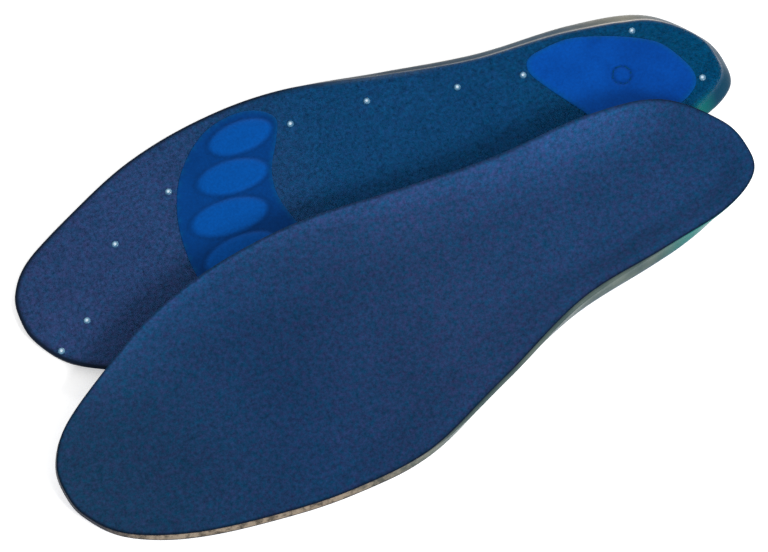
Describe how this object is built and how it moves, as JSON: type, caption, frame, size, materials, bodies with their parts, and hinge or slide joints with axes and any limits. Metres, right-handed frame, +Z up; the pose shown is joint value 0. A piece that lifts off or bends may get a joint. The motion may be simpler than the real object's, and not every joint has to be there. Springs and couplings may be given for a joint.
{
  "type": "cushioned insole",
  "caption": "Pair of full-length cushioned insoles: clear gel body, fabric top cover, blue ball and heel pads; one face down, the other face up across it",
  "frame": {"origin": "centre of the pair's bounding box, at the height of the surface it lies on", "axes": "+X runs from toe to heel of the lower insole, which lies along X; +Y runs across, from the upper insole to the lower one; +Z up"},
  "size_m": [0.281, 0.1522, 0.0242],
  "materials": {
    "clear_gel": "clear glossy elastomer gel, faintly blue-green at its edges",
    "cover_fabric": "matt navy knitted fabric with a fine short nap",
    "blue_gel": "softer bright blue gel, satin, slightly translucent"
  },
  "bodies": {
    "left_insole": {"left_gel": "clear_gel", "left_cover": "cover_fabric", "left_forefoot_pad": "blue_gel", "left_heel_pad": "blue_gel"},
    "left_toes": {"left_gel_toe": "clear_gel", "left_cover_toe": "cover_fabric"},
    "right_insole": {"right_gel": "clear_gel", "right_cover": "cover_fabric", "right_forefoot_pad": "blue_gel", "right_heel_pad": "blue_gel"},
    "right_toes": {"right_gel_toe": "clear_gel", "right_cover_toe": "cover_fabric"}
  },
  "joints": [
    {"name": "left_toe_flex", "type": "hinge", "parent": "left_insole", "child": "left_toes", "pos_m": [-0.07255, 0.02962, 0.00164], "axis": [-0.0005, -0.9999, 0.015], "range_deg": [0, 45], "stiffness_Nm_per_rad": 0.35},
    {"name": "right_lift", "type": "slide", "parent": "left_insole", "child": "right_insole", "axis": [0, 0, 1], "range_m": [0, 0.1]},
    {"name": "right_toe_flex", "type": "hinge", "parent": "right_insole", "child": "right_toes", "pos_m": [-0.0832, -0.03229, 0.01116], "axis": [-0.114, 0.9813, 0.1552], "range_deg": [0, 45], "stiffness_Nm_per_rad": 0.35}
  ]
}
